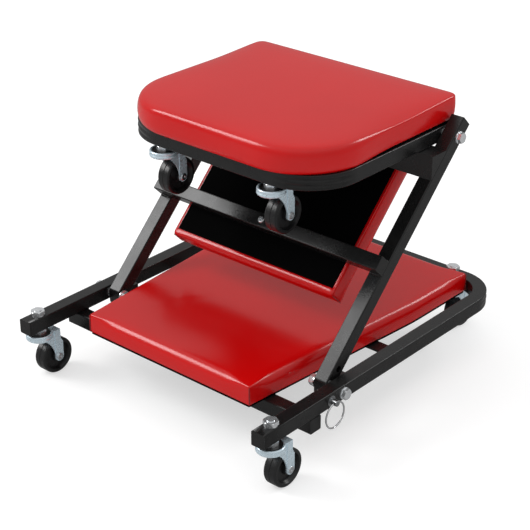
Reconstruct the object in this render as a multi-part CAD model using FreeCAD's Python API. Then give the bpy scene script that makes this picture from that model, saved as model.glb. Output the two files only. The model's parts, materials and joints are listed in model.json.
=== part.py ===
import FreeCAD, Part
import math
import os

V = FreeCAD.Vector
UP = V(0, 0, 1)
DOWN = V(0, 0, -1)

# Mechanics creeper that folds up into a rolling seat, in its seat position.
# Millimetres, +Z up, origin on the floor under the middle of the whole length,
# casters included, and on the plane of symmetry.
# +X points from the frame's open end to its bent end, and -Y is the pull pin's side.

# ---- driving dimensions: tube and frame ----
tube = 20.0                 # side of the square tube
wall = 1.5                  # tube wall
tube_round = 1.6            # outer corner radius of the tube
side_gap = 2.0              # air between tubes that swing past each other
frame_length = 504.0
origin_from_front = 271.0    # half of the length with the rear wheels trailing
frame_width = 429.0
frame_bend = 50.0           # centre-line radius of the base frame's bends
caster_height = 73.5        # floor to the underside of the tubes
front_bar_from_front = 94.6
rear_bar_from_front = 282.6
rear_bar_thick = 3.0        # the rear crossbar is a flat bar
rear_bar_end_inset = 10.0   # its ends, in from the legs' outer faces
cap_flange = 1.2
cap_plug = 5.0
cap_clearance = 0.1

# ---- arms and seat frame ----
arm_length = 358.7          # from the base pivot to the top pivot
arm_angle = 45.0            # from the floor, in the seat position
pivot_from_front = 148.3
arm_tail = 24.0             # arm beyond the top pivot
arm_foot = 14.0             # arm beyond the base pivot
arm_foot_face = 7.0         # upright end face, in front of the base pivot
arm_foot_rounds = (5.0, 3.0, 3.0)
arm_bar_at = 161.3          # arm crossbar, along the arm from the base pivot
stop_bar_leg = 32.0         # outside of the angle bar that carries the seat frame
stop_bar_thick = 3.0
stop_bar_gap = 0.1
seat_reach = 256.6          # from the top pivot to the seat frame's front face
seat_bend = 65.0            # centre-line radius of the seat frame's bends
seat_tail = 12.0            # seat frame leg beyond the top pivot
seat_bar_from_pivot = 78.0
stop_length = 14.0
stop_height = 12.0
stop_depth = 18.0
stop_top = 5.0              # top of the arm stop above the pivot

# ---- pivots and fasteners ----
bolt_r = 4.0
fixed_fit = 0.05            # radial clearance of a shank that doesn't turn
running_fit = 0.08          # radial clearance of a turning fit
bolt_flats = 13.0
bolt_head = 5.3
nut_height = 7.0
washer_r = 8.0
washer_thick = 1.6
washer_play = 0.2
screw_r = 2.4
screw_head_r = 4.6
screw_head = 2.8
screw_bite = 6.0            # how far a screw goes into its board

# ---- cushions ----
board_thick = 8.0
board_play = 0.2
cushion_thick = 32.0
seat_cushion_thick = 40.0
cushion_corner = 9.0
cushion_edge = 7.0
seat_cushion_edge = 12.0
base_cushion_front = 57.5       # these three from the frame's open end
base_cushion_straight = 365.0
base_cushion_rear = 481.5
base_cushion_front_width = 279.0
base_cushion_rear_width = 330.0
middle_cushion_start = 105.0    # along the arm from the base pivot
middle_cushion_end = 317.0
middle_cushion_width = 280.0
seat_cushion_front = 262.0      # from the top pivot
seat_cushion_back = 31.0
seat_cushion_width = 336.0
seat_cushion_front_corner = 85.0
seat_cushion_back_corner = 14.0
board_inset = 5.0

# ---- casters ----
stem_r = 5.0
stem_nut_flats = 17.0
stem_nut = 5.0
lock_washer = 2.0
jam_nut = 6.0
cap_r = 14.4
cap_thick = 2.2
ball_r = 1.5
ball_ring_r = 12.0
ball_count = 16
ball_play = 0.15
cup_r = 17.0
cup_wall = 1.8
cup_rim = 6.8               # rim's top below the tube
fork_gap = 21.2
fork_plate = 1.8
strap_step = 0.6            # the axle strap stands proud of the fork's side
strap_half = 6.6
neck_reach = 25.3           # fork above the strap, from the stem
neck_low = 21.0             # where the fork starts to widen to the strap
neck_end = 27.0
trail = 22.0
wheel_r = 25.4
tread_width = 19.4
hub_width = 20.6
hub_r = 8.0
axle_r = 3.0
axle_head_r = 4.8
axle_head = 1.5
front_stem_from_end = 23.4
rear_stem_y = 136.5
seat_stem_y = 91.0

# ---- pull pin ----
pin_from_front = 124.0
pin_r = 4.0
pin_tip_past_leg = 1.0
pin_travel = 4.0
flange_r = 7.0
flange_thick = 1.0
sleeve_r = 5.6
sleeve_length = 5.5
ring_r = 17.4
ring_wire_r = 1.1
ring_out = 6.4              # ring's plane outside the leg
pin_end_past_ring = 4.4
ring_hole_r = 1.8
collar_r = 6.5
collar_thick = 1.5
spring_r = 5.6
spring_wire_r = 0.45
spring_turns = 5

# ---- worked out ----
half_tube = tube / 2
front_x = -origin_from_front
rear_x = front_x + frame_length
tube_z = caster_height + half_tube
leg_y = frame_width / 2 - half_tube
arm_y = leg_y - tube - side_gap
seat_leg_y = arm_y - tube - side_gap
pivot_x = front_x + pivot_from_front
rise = math.radians(arm_angle)
top_x = pivot_x + arm_length * math.cos(rise)
top_z = tube_z + arm_length * math.sin(rise)
front_bar_x = front_x + front_bar_from_front
rear_bar_x = front_x + rear_bar_from_front
bar_z = caster_height - half_tube
seat_front_x = top_x - seat_reach
seat_stem_x = seat_front_x + half_tube
seat_bar_x = top_x - seat_bar_from_pivot
pin_x = front_x + pin_from_front
leg_outer_y = leg_y + half_tube
leg_inner_y = leg_y - half_tube


# ---- helpers ----
def block(x0, x1, y0, y1, z0, z1):
    return Part.makeBox(x1 - x0, y1 - y0, z1 - z0, V(x0, y0, z0))


def put(shape, base, axis=UP):
    """A copy of a shape built along +Z at the origin, moved to base and turned to axis."""
    moved = shape.copy()
    place = FreeCAD.Placement(base, FreeCAD.Rotation(UP, axis))
    moved.Placement = place.multiply(shape.Placement)
    return moved


def rod(radius, start, end):
    span = end - start
    return put(Part.makeCylinder(radius, span.Length), start, span)


def ring_plate(outer_r, inner_r, thick):
    return Part.makeCylinder(outer_r, thick).cut(Part.makeCylinder(inner_r, thick))


def hexagon(flats, height):
    """Hexagonal prism along +Z with its top corners chamfered."""
    corner_r = flats / math.sqrt(3)
    points = []
    for k in range(7):
        turn = math.radians(60 * k)
        points.append(V(corner_r * math.cos(turn), corner_r * math.sin(turn), 0))
    prism = Part.Face(Part.makePolygon(points)).extrude(V(0, 0, height))
    round_r = corner_r + 0.01
    cut_in = corner_r - flats / 2
    body = Part.makeCylinder(round_r, height)
    top = [e for e in body.Edges if abs(e.BoundBox.ZMin - height) < 0.01 and e.Closed]
    body = body.makeChamfer(cut_in * 0.6, top)
    return prism.common(body)


def hex_nut(flats, height, bore_r):
    return hexagon(flats, height).cut(Part.makeCylinder(bore_r, height))


def hex_bolt(flats, head, shank_r, length):
    """Bolt with its head above z = 0 and its shank below."""
    shank = Part.makeCylinder(shank_r, length, V(0, 0, -length))
    return hexagon(flats, head).fuse(shank)


def pan_screw(length):
    """Cross-recess pan-head screw with its head above z = 0."""
    head = Part.makeCylinder(screw_head_r, screw_head)
    top = [e for e in head.Edges if abs(e.BoundBox.ZMin - screw_head) < 0.01 and e.Closed]
    head = head.makeFillet(screw_head * 0.6, top)
    slot = screw_head_r * 0.62
    depth = screw_head * 0.6
    for turn in (0, 90):
        arm = block(-slot, slot, -0.6, 0.6, screw_head - depth, screw_head + 1)
        arm.rotate(V(0, 0, 0), UP, turn)
        head = head.cut(arm)
    shank = Part.makeCylinder(screw_r, length, V(0, 0, -length))
    return head.fuse(shank)


def rounded_outline(points, radii, z):
    """Closed wire at height z through the points, each corner an arc of its own radius."""
    count = len(points)
    starts = []
    ends = []
    arcs = []
    for k in range(count):
        here = V(points[k][0], points[k][1], z)
        back = V(points[k - 1][0], points[k - 1][1], z) - here
        ahead = V(points[(k + 1) % count][0], points[(k + 1) % count][1], z) - here
        back.normalize()
        ahead.normalize()
        half = math.acos(max(-1.0, min(1.0, back.dot(ahead)))) / 2
        reach = radii[k] / math.tan(half)
        middle = back + ahead
        middle.normalize()
        depth = radii[k] / math.sin(half) - radii[k]
        starts.append(here + back * reach)
        ends.append(here + ahead * reach)
        arcs.append(Part.Arc(starts[k], here + middle * depth, ends[k]).toShape())
    edges = []
    for k in range(count):
        edges.append(arcs[k])
        following = (k + 1) % count
        edges.append(Part.LineSegment(ends[k], starts[following]).toShape())
    return Part.Wire(edges)


def longways(shape, axis, skip_planes=()):
    """Edges on the outside corners of a tube that runs along one axis."""
    kept = []
    for edge in shape.Edges:
        direction = edge.Vertexes[-1].Point - edge.Vertexes[0].Point
        if direction.Length < 1e-6:
            continue
        direction.normalize()
        if abs(direction.dot(axis)) > 0.999:
            kept.append(edge)
    return kept


def straight_tube(x0, x1, y0, y1, z0, z1, axis):
    """Hollow square tube, open at both ends, with rounded long edges."""
    body = block(x0, x1, y0, y1, z0, z1)
    body = body.makeFillet(tube_round, longways(body, axis))
    ends = [abs(axis.x) * -wall, abs(axis.y) * -wall, abs(axis.z) * -wall]
    inset = [wall + e * 2 for e in ends]
    hollow = block(
        x0 + inset[0], x1 - inset[0], y0 + inset[1], y1 - inset[1], z0 + inset[2], z1 - inset[2]
    )
    return body.cut(hollow)


def u_face(open_x, end_x, half_width, outer_r, inset, z):
    """Plan of a U-shaped tube whose bend is at end_x, inset from its outside all round."""
    outer_end = end_x - inset
    outer_y = half_width - inset
    inner_end = end_x - tube + inset
    inner_y = half_width - tube + inset
    centre_x = end_x - outer_r
    centre_y = half_width - outer_r
    big = outer_r - inset
    small = outer_r - tube + inset
    diagonal = math.sqrt(0.5)

    def corner(radius, side):
        a = V(centre_x, side * (centre_y + radius), z)
        b = V(centre_x + radius * diagonal, side * (centre_y + radius * diagonal), z)
        c = V(centre_x + radius, side * centre_y, z)
        return a, b, c

    edges = []
    a, b, c = corner(big, -1)
    d, e, f = corner(big, 1)
    edges.append(Part.LineSegment(V(open_x, -outer_y, z), a).toShape())
    edges.append(Part.Arc(a, b, c).toShape())
    edges.append(Part.LineSegment(V(outer_end, c.y, z), V(outer_end, f.y, z)).toShape())
    edges.append(Part.Arc(f, e, d).toShape())
    edges.append(Part.LineSegment(d, V(open_x, outer_y, z)).toShape())
    edges.append(Part.LineSegment(V(open_x, outer_y, z), V(open_x, inner_y, z)).toShape())
    a, b, c = corner(small, 1)
    d, e, f = corner(small, -1)
    edges.append(Part.LineSegment(V(open_x, inner_y, z), a).toShape())
    edges.append(Part.Arc(a, b, c).toShape())
    edges.append(Part.LineSegment(V(inner_end, c.y, z), V(inner_end, f.y, z)).toShape())
    edges.append(Part.Arc(f, e, d).toShape())
    edges.append(Part.LineSegment(d, V(open_x, -inner_y, z)).toShape())
    edges.append(Part.LineSegment(V(open_x, -inner_y, z), V(open_x, -outer_y, z)).toShape())
    return Part.Face(Part.Wire(edges))


def u_tube(open_x, end_x, half_width, outer_r, z0):
    """Hollow square tube bent to a U, open at its two leg ends."""
    body = u_face(open_x, end_x, half_width, outer_r, 0, z0).extrude(V(0, 0, tube))
    corners = []
    for edge in body.Edges:
        box = edge.BoundBox
        flat = box.ZMax - box.ZMin < 0.01
        at_open_end = abs(box.XMax - open_x) < 0.01 and abs(box.XMin - open_x) < 0.01
        if flat and not at_open_end:
            corners.append(edge)
    body = body.makeFillet(tube_round, corners)
    hollow = u_face(open_x, end_x, half_width, outer_r, wall, z0 + wall)
    return body.cut(hollow.extrude(V(0, 0, tube - 2 * wall)))


def tube_cap():
    """Square end plug: flange above z = 0, plug below."""
    flange = block(-half_tube, half_tube, -half_tube, half_tube, 0, cap_flange)
    flange = flange.makeFillet(tube_round, longways(flange, UP))
    plug_half = half_tube - wall - cap_clearance
    plug = block(-plug_half, plug_half, -plug_half, plug_half, -cap_plug, 0)
    return flange.fuse(plug)


def on_arm(shape):
    """From the arm's own frame (x along it, z out of its front) to the seat position."""
    moved = shape.copy()
    moved.rotate(V(0, 0, 0), V(0, 1, 0), -arm_angle)
    moved.translate(V(pivot_x, 0, tube_z))
    return moved


def mirrored(shape):
    return shape.mirror(V(0, 0, 0), V(0, 1, 0))


def both_sides(shape):
    return [shape, mirrored(shape)]


def group(shapes):
    return Part.makeCompound(shapes)


def cushion_and_board(points, radii, z0, thick, edge_r, screw_places):
    """Padded cover with a pocket in its underside, and the board that fills the pocket."""
    outside = Part.Face(rounded_outline(points, radii, z0))
    pad = outside.extrude(V(0, 0, thick))
    rim = [e for e in pad.Edges if e.BoundBox.ZMin > z0 + thick - 0.01]
    pad = pad.makeFillet(edge_r, rim)
    wire = outside.OuterWire
    pocket_wire = wire.makeOffset2D(-(board_inset - board_play))
    board_wire = wire.makeOffset2D(-board_inset)
    pocket = Part.Face(pocket_wire).extrude(V(0, 0, board_thick + board_play))
    board = Part.Face(board_wire).extrude(V(0, 0, board_thick))
    for x, y in screw_places:
        hole = Part.makeCylinder(screw_r + fixed_fit, screw_bite + board_play, V(x, y, z0))
        board = board.cut(hole)
    return pad.cut(pocket), board


nodes = {}


# ---- base frame ----
def stem_hole(x, y, z0, height):
    return Part.makeCylinder(stem_r + 0.1, height, V(x, y, z0))


base_stems = [
    (front_x + front_stem_from_end, leg_y),
    (front_x + front_stem_from_end, -leg_y),
    (rear_x - half_tube, rear_stem_y),
    (rear_x - half_tube, -rear_stem_y),
]

base_tube = u_tube(
    front_x + cap_flange, rear_x, frame_width / 2, frame_bend + half_tube, caster_height
)
for x, y in base_stems:
    base_tube = base_tube.cut(stem_hole(x, y, caster_height - 1, tube + 2))
for side in (-1, 1):
    base_tube = base_tube.cut(
        rod(
            bolt_r + fixed_fit,
            V(pivot_x, side * (leg_inner_y - 1), tube_z),
            V(pivot_x, side * (leg_outer_y + 1), tube_z),
        )
    )
base_tube = base_tube.cut(
    rod(
        pin_r + running_fit,
        V(pin_x, -leg_inner_y + 1, tube_z),
        V(pin_x, -leg_inner_y - wall - 1, tube_z),
    )
)
base_tube = base_tube.cut(
    rod(
        sleeve_r + fixed_fit,
        V(pin_x, -leg_outer_y + wall + 1, tube_z),
        V(pin_x, -leg_outer_y - 1, tube_z),
    )
)
nodes["base_frame_tube"] = base_tube


def crossbar(x, z, half_length, screw_ys=()):
    """Square tube across the frame, ends left for caps, with screw holes straight down."""
    end = half_length - cap_flange
    bar = straight_tube(
        x - half_tube, x + half_tube, -end, end, z - half_tube, z + half_tube, V(0, 1, 0)
    )
    for y in screw_ys:
        hole = Part.makeCylinder(screw_r + fixed_fit, tube + 2, V(x, y, z - half_tube - 1))
        bar = bar.cut(hole)
    return bar


def crossbar_caps(x, z, half_length):
    end = half_length - cap_flange
    return both_sides(put(tube_cap(), V(x, end, z), V(0, 1, 0)))


nodes["base_crossbar_front"] = crossbar(front_bar_x, bar_z, frame_width / 2, (0,))
rear_bar_half = frame_width / 2 - rear_bar_end_inset
rear_bar_low = caster_height - rear_bar_thick
rear_bar = block(
    rear_bar_x - half_tube,
    rear_bar_x + half_tube,
    -rear_bar_half,
    rear_bar_half,
    rear_bar_low,
    caster_height,
)
rear_screw_hole = Part.makeCylinder(
    screw_r + fixed_fit, rear_bar_thick + 2, V(rear_bar_x, 0, rear_bar_low - 1)
)
nodes["base_crossbar_rear"] = rear_bar.cut(rear_screw_hole)
leg_cap = put(tube_cap(), V(front_x + cap_flange, leg_y, tube_z), V(-1, 0, 0))
nodes["base_tube_caps"] = group(
    both_sides(leg_cap) + crossbar_caps(front_bar_x, bar_z, frame_width / 2)
)

# Block on the inside of each leg that the arm leans on in the seat position.
stop_x = pivot_x + stop_top + half_tube / math.cos(rise) + stop_bar_gap * 2
arm_stop = block(
    stop_x,
    stop_x + stop_length,
    leg_inner_y - stop_depth,
    leg_inner_y,
    tube_z + stop_top - stop_height,
    tube_z + stop_top,
)
nodes["arm_stops"] = group(both_sides(arm_stop))

base_half_front = base_cushion_front_width / 2
base_half_rear = base_cushion_rear_width / 2
base_points = [
    (front_x + base_cushion_front, -base_half_front),
    (front_x + base_cushion_straight, -base_half_rear + 1),
    (front_x + base_cushion_rear, -base_half_rear),
    (front_x + base_cushion_rear, base_half_rear),
    (front_x + base_cushion_straight, base_half_rear - 1),
    (front_x + base_cushion_front, base_half_front),
]
base_radii = [cushion_corner, 500, cushion_corner, cushion_corner, 500, cushion_corner]
base_screws = [(front_bar_x, 0), (rear_bar_x, 0)]
nodes["base_cushion"], nodes["base_cushion_board"] = cushion_and_board(
    base_points, base_radii, caster_height, cushion_thick, cushion_edge, base_screws
)
nodes["base_cushion_screws"] = group(
    [
        put(pan_screw(tube + screw_bite), V(front_bar_x, 0, bar_z - half_tube), DOWN),
        put(pan_screw(rear_bar_thick + screw_bite), V(rear_bar_x, 0, rear_bar_low), DOWN),
    ]
)


# ---- pivots ----
def pivot_set(x, z, outer_face, washers_at, nut_face, end_y):
    """Bolt, washers and nut of one pivot on the +Y side; washers_at are their inner faces."""
    outward = V(0, 1, 0)
    head_y = outer_face + washer_thick
    bolt = put(hex_bolt(bolt_flats, bolt_head, bolt_r, head_y - end_y), V(x, head_y, z), outward)
    plate = ring_plate(washer_r, bolt_r + fixed_fit, washer_thick)
    washers = [put(plate, V(x, y, z), outward) for y in washers_at]
    nut = put(
        hex_nut(bolt_flats, nut_height, bolt_r + fixed_fit), V(x, nut_face, z), V(0, -1, 0)
    )
    return bolt, washers, nut


def add_pivot_nodes(name, parts):
    bolt, washers, nut = parts
    nodes[name + "_bolts"] = group(both_sides(bolt))
    nodes[name + "_washers"] = group([w for one in washers for w in both_sides(one)])
    nodes[name + "_nuts"] = group(both_sides(nut))


arm_inner_y = arm_y - half_tube
arm_outer_y = arm_y + half_tube
seat_inner_y = seat_leg_y - half_tube
seat_outer_y = seat_leg_y + half_tube
under_arm = arm_inner_y - washer_play - washer_thick
under_seat = seat_inner_y - washer_play - washer_thick
bolt_end_past_nut = 1.5
base_pivot = pivot_set(
    pivot_x,
    tube_z,
    leg_outer_y,
    (leg_outer_y, arm_outer_y + washer_play, under_arm),
    under_arm,
    under_arm - nut_height - bolt_end_past_nut,
)
add_pivot_nodes("base_pivot", base_pivot)
top_pivot = pivot_set(
    top_x,
    top_z,
    arm_outer_y,
    (arm_outer_y, seat_outer_y + washer_play, under_seat),
    under_seat,
    under_seat - nut_height - bolt_end_past_nut,
)
add_pivot_nodes("top_pivot", top_pivot)


# ---- arms, in their own frame until on_arm ----
def arm_side(length, inset):
    """Side outline of an arm, with the end face that stands upright in the seat position."""
    half = half_tube - inset
    heel = inset - arm_foot
    face = (inset - arm_foot_face) / math.cos(rise)
    face_top = face + half * math.tan(rise)
    face_foot = (heel - face) / math.tan(rise)
    points = [
        (length, -half),
        (length, half),
        (face_top, half),
        (heel, face_foot),
        (heel, -half),
    ]
    rounds = [1.0, 1.0] + [radius - inset for radius in arm_foot_rounds]
    return Part.Face(rounded_outline(points, rounds, 0))


def arm(side):
    """Square tube with a closed foot below the base pivot and an open upper end."""
    length = arm_length + arm_tail - cap_flange
    past_end = length + 5

    def bar(inset):
        depth = tube - 2 * inset
        low_y = side * arm_y - depth / 2
        solid = arm_side(past_end, inset).extrude(V(0, 0, depth))
        solid.rotate(V(0, 0, 0), V(1, 0, 0), 90)
        solid.translate(V(0, low_y + depth, 0))
        waste = block(length, past_end + 1, low_y - 1, low_y + depth + 1, -tube, tube)
        return solid.cut(waste)

    body = bar(0)
    corners = []
    for edge in body.Edges:
        box = edge.BoundBox
        flat = box.YMax - box.YMin < 0.01
        at_open_end = box.XMin > length - 0.01
        if flat and not at_open_end:
            corners.append(edge)
    body = body.makeFillet(tube_round, corners).cut(bar(wall))
    for along, clearance in ((0, running_fit), (arm_length, fixed_fit)):
        start = V(along, side * (arm_inner_y - 1), 0)
        end = V(along, side * (arm_outer_y + 1), 0)
        body = body.cut(rod(bolt_r + clearance, start, end))
    return body


def lock_hole():
    """Hole in the pull-pin side arm that the pin enters when the frame lies flat."""
    along = pivot_x - pin_x
    start = V(along, -arm_outer_y + wall + 1, 0)
    return rod(pin_r + 0.3, start, V(along, -arm_outer_y - 1, 0))


nodes["arm_left"] = on_arm(arm(1))
nodes["arm_right"] = on_arm(arm(-1).cut(lock_hole()))

arm_bar = crossbar(arm_bar_at, tube, arm_outer_y, (0,))
nodes["arm_crossbar"] = on_arm(arm_bar)
arm_cap = put(tube_cap(), V(arm_length + arm_tail - cap_flange, arm_y, 0), V(1, 0, 0))
arm_caps = both_sides(arm_cap) + crossbar_caps(arm_bar_at, tube, arm_outer_y)
nodes["arm_tube_caps"] = group([on_arm(cap) for cap in arm_caps])

# Angle bar across the arms; the seat frame's legs rest on its upper flange.
seat_underside = top_z - half_tube
corner_rise = stop_bar_leg * math.sin(rise)
corner_out = half_tube + corner_rise
corner_along = (seat_underside - stop_bar_gap - tube_z) / math.sin(rise) - corner_out


def angle_section(leg, y, corner_out):
    corner_rise = leg * math.sin(rise)
    face_out = corner_out - corner_rise
    points = [
        V(corner_along - corner_rise, y, face_out),
        V(corner_along, y, corner_out),
        V(corner_along + corner_rise, y, face_out),
        V(corner_along - corner_rise, y, face_out),
    ]
    return Part.Face(Part.makePolygon(points))


inner_leg = stop_bar_leg - stop_bar_thick
inner_out = corner_out - stop_bar_thick / math.sin(rise)
inner_face_leg = (inner_out - half_tube + 2) / math.sin(rise)
stop_bar = angle_section(stop_bar_leg, -arm_outer_y, corner_out).extrude(V(0, 2 * arm_outer_y, 0))
hollow_half = arm_outer_y - stop_bar_thick
hollow = angle_section(inner_face_leg, -hollow_half, inner_out).extrude(V(0, 2 * hollow_half, 0))
nodes["stop_bar"] = on_arm(stop_bar.cut(hollow))


def under_board(shape):
    """Turns a cushion built on top of z = 0 so that it hangs from the arms' front plane."""
    moved = shape.copy()
    moved.rotate(V(0, 0, 0), V(1, 0, 0), 180)
    moved.translate(V(0, 0, half_tube))
    return moved


middle_half = middle_cushion_width / 2
middle_points = [
    (middle_cushion_start, -middle_half),
    (middle_cushion_end, -middle_half),
    (middle_cushion_end, middle_half),
    (middle_cushion_start, middle_half),
]
middle_pad, middle_board = cushion_and_board(
    middle_points, [cushion_corner] * 4, 0, cushion_thick, cushion_edge, [(arm_bar_at, 0)]
)
nodes["middle_cushion"] = on_arm(under_board(middle_pad))
nodes["middle_cushion_board"] = on_arm(under_board(middle_board))
middle_screw = put(pan_screw(tube + screw_bite), V(arm_bar_at, 0, half_tube + tube))
nodes["middle_cushion_screw"] = on_arm(middle_screw)

# ---- seat frame ----
seat_stems = [(seat_stem_x, seat_stem_y), (seat_stem_x, -seat_stem_y)]
seat_screws = [(seat_stem_x, 38.0), (seat_stem_x, -38.0), (seat_bar_x, 100.0), (seat_bar_x, -100.0)]
seat_open = -(top_x + seat_tail - cap_flange)
seat_tube = u_tube(
    seat_open, -seat_front_x, seat_outer_y, seat_bend + half_tube, seat_underside
).mirror(V(0, 0, 0), V(1, 0, 0))
for x, y in seat_stems:
    seat_tube = seat_tube.cut(stem_hole(x, y, seat_underside - 1, wall + 2))
for x, y in seat_screws[:2]:
    hole = Part.makeCylinder(screw_r + fixed_fit, tube + 2, V(x, y, seat_underside - 1))
    seat_tube = seat_tube.cut(hole)
for side in (-1, 1):
    start = V(top_x, side * (seat_inner_y - 1), top_z)
    end = V(top_x, side * (seat_outer_y + 1), top_z)
    seat_tube = seat_tube.cut(rod(bolt_r + running_fit, start, end))
nodes["seat_frame_tube"] = seat_tube

seat_cap = put(tube_cap(), V(top_x + seat_tail - cap_flange, seat_leg_y, top_z), V(1, 0, 0))
nodes["seat_tube_caps"] = group(both_sides(seat_cap))
seat_bar = straight_tube(
    seat_bar_x - half_tube,
    seat_bar_x + half_tube,
    -seat_inner_y,
    seat_inner_y,
    seat_underside,
    seat_underside + tube,
    V(0, 1, 0),
)
for x, y in seat_screws[2:]:
    hole = Part.makeCylinder(screw_r + fixed_fit, tube + 2, V(x, y, seat_underside - 1))
    seat_bar = seat_bar.cut(hole)
nodes["seat_crossbar"] = seat_bar

seat_half = seat_cushion_width / 2
seat_points = [
    (top_x - seat_cushion_front, -seat_half),
    (top_x + seat_cushion_back, -seat_half),
    (top_x + seat_cushion_back, seat_half),
    (top_x - seat_cushion_front, seat_half),
]
seat_radii = [
    seat_cushion_front_corner,
    seat_cushion_back_corner,
    seat_cushion_back_corner,
    seat_cushion_front_corner,
]
nodes["seat_cushion"], nodes["seat_cushion_board"] = cushion_and_board(
    seat_points,
    seat_radii,
    seat_underside + tube,
    seat_cushion_thick,
    seat_cushion_edge,
    seat_screws,
)
nodes["seat_cushion_screws"] = group(
    [put(pan_screw(tube + screw_bite), V(x, y, seat_underside), DOWN) for x, y in seat_screws]
)


# ---- casters, built about their stem with z = 0 at the underside of the tube ----
cap_low = -jam_nut - cap_thick
cup_floor = cap_low - 2 * ball_r - 2 * ball_play
cup_low = cup_floor - cup_wall
fork_half = fork_gap / 2
axle_z = wheel_r - caster_height


def caster_stem(top):
    """Stem with the riveted head that holds the fork up."""
    stem = Part.makeCylinder(stem_r, top - cup_low + 1, V(0, 0, cup_low - 1))
    head = Part.makeCylinder(stem_r + 3, 2.2, V(0, 0, cup_low - 0.2 - 2.2))
    lower = [e for e in head.Edges if e.BoundBox.ZMax < cup_low - 2.3 and e.Closed]
    return stem.fuse(head.makeFillet(1.2, lower))


def caster_cap():
    """Upper ball race, fixed on the stem."""
    body = Part.makeCylinder(cap_r, cap_thick, V(0, 0, cap_low))
    bore = Part.makeCylinder(stem_r + fixed_fit, cap_thick, V(0, 0, cap_low))
    return body.cut(bore)


def caster_balls():
    balls = []
    for k in range(ball_count):
        turn = 2 * math.pi * k / ball_count
        centre = V(
            ball_ring_r * math.cos(turn),
            ball_ring_r * math.sin(turn),
            cap_low - ball_play - ball_r,
        )
        balls.append(Part.makeSphere(ball_r, centre))
    return balls


def side_plate():
    """Fork side on +Y: a gusset from the race and a strap, stepped out, around the axle."""
    foot_r = strap_half
    gusset = Part.Face(
        Part.Wire(
            [
                Part.LineSegment(V(-9, 0, -cup_rim - 2), V(trail, 0, -cup_rim - 2)).toShape(),
                Part.LineSegment(V(trail, 0, -cup_rim - 2), V(trail, 0, axle_z)).toShape(),
                Part.LineSegment(
                    V(trail, 0, axle_z), V(trail - foot_r + 0.3, 0, axle_z + 2)
                ).toShape(),
                Part.Arc(
                    V(trail - foot_r + 0.3, 0, axle_z + 2), V(8.0, 0, -26.0), V(-9, 0, cup_low)
                ).toShape(),
                Part.LineSegment(V(-9, 0, cup_low), V(-9, 0, -cup_rim - 2)).toShape(),
            ]
        )
    ).extrude(V(0, fork_plate, 0))
    thick = fork_plate + strap_step
    strap = block(trail - foot_r, trail + foot_r, 0, thick, axle_z, -cup_rim)
    foot = put(Part.makeCylinder(foot_r, thick), V(trail, 0, axle_z), V(0, 1, 0))
    plate = gusset.fuse([strap, foot]).removeSplitter()
    plate.translate(V(0, fork_half, 0))
    return plate


def caster_fork():
    """Pressed fork: ball cup, saddle behind it and two side plates, trailing along +X."""
    cup = Part.makeCylinder(cup_r, -cup_rim - cup_low, V(0, 0, cup_low))
    low_rim = [e for e in cup.Edges if e.Closed and e.BoundBox.ZMax < cup_low + 0.01]
    cup = cup.makeFillet(1.6, low_rim)
    saddle_half = fork_half + fork_plate
    saddle = block(0, trail + strap_half, -saddle_half, saddle_half, -cup_rim - 2, -cup_rim)
    bowl = Part.makeCylinder(cup_r - cup_wall, 20, V(0, 0, cup_floor))
    bore = Part.makeCylinder(stem_r + running_fit, 20, V(0, 0, cup_low - 5))
    axle_bore = rod(axle_r + fixed_fit, V(trail, -30, axle_z), V(trail, 30, axle_z))
    body = cup.fuse([saddle] + both_sides(side_plate()))
    body = body.cut(bowl).cut(bore).cut(axle_bore)
    back = trail + strap_half + 1
    slope = [
        V(neck_reach, -40, 1),
        V(back, -40, 1),
        V(back, -40, -neck_end),
        V(trail + strap_half, -40, -neck_end),
        V(neck_reach, -40, -neck_low),
        V(neck_reach, -40, 1),
    ]
    body = body.cut(Part.Face(Part.makePolygon(slope)).extrude(V(0, 80, 0)))
    top = [
        e
        for e in body.Edges
        if e.Closed and abs(e.BoundBox.XMax - e.BoundBox.XMin - 2 * cup_r) < 0.01
        and abs(e.BoundBox.ZMin + cup_rim) < 0.01
    ]
    return body.makeFillet(0.8, top) if top else body.removeSplitter()


def caster_axle():
    """Rivet through the fork and wheel, with a dimpled head each side."""
    face = fork_half + fork_plate + strap_step
    pin = rod(axle_r, V(trail, -face, axle_z), V(trail, face, axle_z))
    head = Part.makeCylinder(axle_head_r, axle_head)
    top = [e for e in head.Edges if e.Closed and e.BoundBox.ZMin > axle_head - 0.01]
    head = head.makeFillet(0.9, top).cut(Part.makeCylinder(1.8, 3, V(0, 0, 0.5)))
    head = put(head, V(trail, face, axle_z), V(0, 1, 0))
    return pin.fuse(both_sides(head))


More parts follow.
